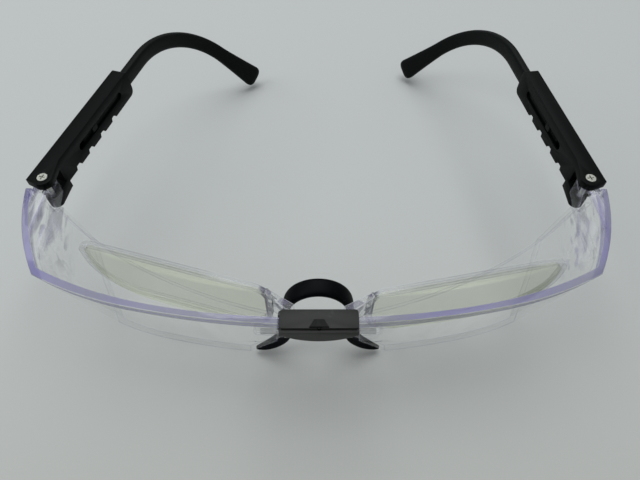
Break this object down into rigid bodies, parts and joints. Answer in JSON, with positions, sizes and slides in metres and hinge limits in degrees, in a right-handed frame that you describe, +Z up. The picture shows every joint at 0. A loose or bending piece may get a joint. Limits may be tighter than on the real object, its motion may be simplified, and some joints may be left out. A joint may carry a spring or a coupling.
{
  "type": "head visor magnifier",
  "caption": "Spectacle-type magnifier: clear wrap-round shield, clip-in lens insert under the brow, rubber nose saddle, folding temples with sliding ear stems.",
  "frame": {"origin": "centre of the footprint, on the table that the shield's lower edge and the ear tips rest on", "axes": "+X to the right seen from the front, along the brow; +Y from the brow back to the ear tips; +Z up from the table to the brow"},
  "size_m": [0.1725, 0.1619, 0.0472],
  "materials": {
    "clear_shield": "clear gloss moulding, faint violet edge",
    "clear_insert": "clear gloss moulding",
    "lens_clear": "polished lens, faint yellow-green cast",
    "clear_plug": "clear gloss",
    "latch_black": "satin moulded black",
    "button_black": "satin moulded black",
    "temple_black": "fine-grained matt black",
    "stem_black": "soft matt black",
    "saddle_rubber": "matt black rubber",
    "screw_bright": "plain steel head",
    "screw_steel": "plain steel",
    "spring_steel": "spring wire"
  },
  "bodies": {
    "visor": {"visor_shield": "clear_shield", "latch_housing": "latch_black", "nose_saddle": "saddle_rubber", "left_saddle_plug": "clear_plug", "right_saddle_plug": "clear_plug", "button_spring": "spring_steel"},
    "insert": {"insert_frame": "clear_insert", "lens_left": "lens_clear", "lens_right": "lens_clear"},
    "button": {"release_button": "button_black"},
    "left_temple": {"left_temple_sheath": "temple_black", "left_hinge_screw": "screw_bright", "left_hinge_nut": "screw_steel", "left_hinge_washer": "screw_bright"},
    "left_stem": {"left_ear_stem": "stem_black"},
    "right_temple": {"right_temple_sheath": "temple_black", "right_hinge_screw": "screw_bright", "right_hinge_nut": "screw_steel", "right_hinge_washer": "screw_bright"},
    "right_stem": {"right_ear_stem": "stem_black"}
  },
  "joints": [
    {"name": "left_fold", "type": "hinge", "parent": "visor", "child": "left_temple", "pos_m": [-0.0819, -0.0306, 0.0408], "axis": [0, 0, 1], "range_deg": [-72, 7]},
    {"name": "left_stem_slide", "type": "slide", "parent": "left_temple", "child": "left_stem", "axis": [0.2622, 0.965, 0], "range_m": [-0.00785, 0.0157]},
    {"name": "right_fold", "type": "hinge", "parent": "visor", "child": "right_temple", "pos_m": [0.0819, -0.0306, 0.0408], "axis": [0, 0, 1], "range_deg": [0, 67]},
    {"name": "right_stem_slide", "type": "slide", "parent": "right_temple", "child": "right_stem", "axis": [-0.1392, 0.9903, 0], "range_m": [-0.00785, 0.0157]},
    {"name": "insert_release", "type": "slide", "parent": "visor", "child": "insert", "axis": [0, 0, -1], "range_m": [0, 0.005]},
    {"name": "button_press", "type": "slide", "parent": "visor", "child": "button", "axis": [0, 0, -1], "range_m": [0, 0.0005], "stiffness_N_per_m": 400, "springref_m": -0.0003, "deforming": ["button_spring"]}
  ]
}
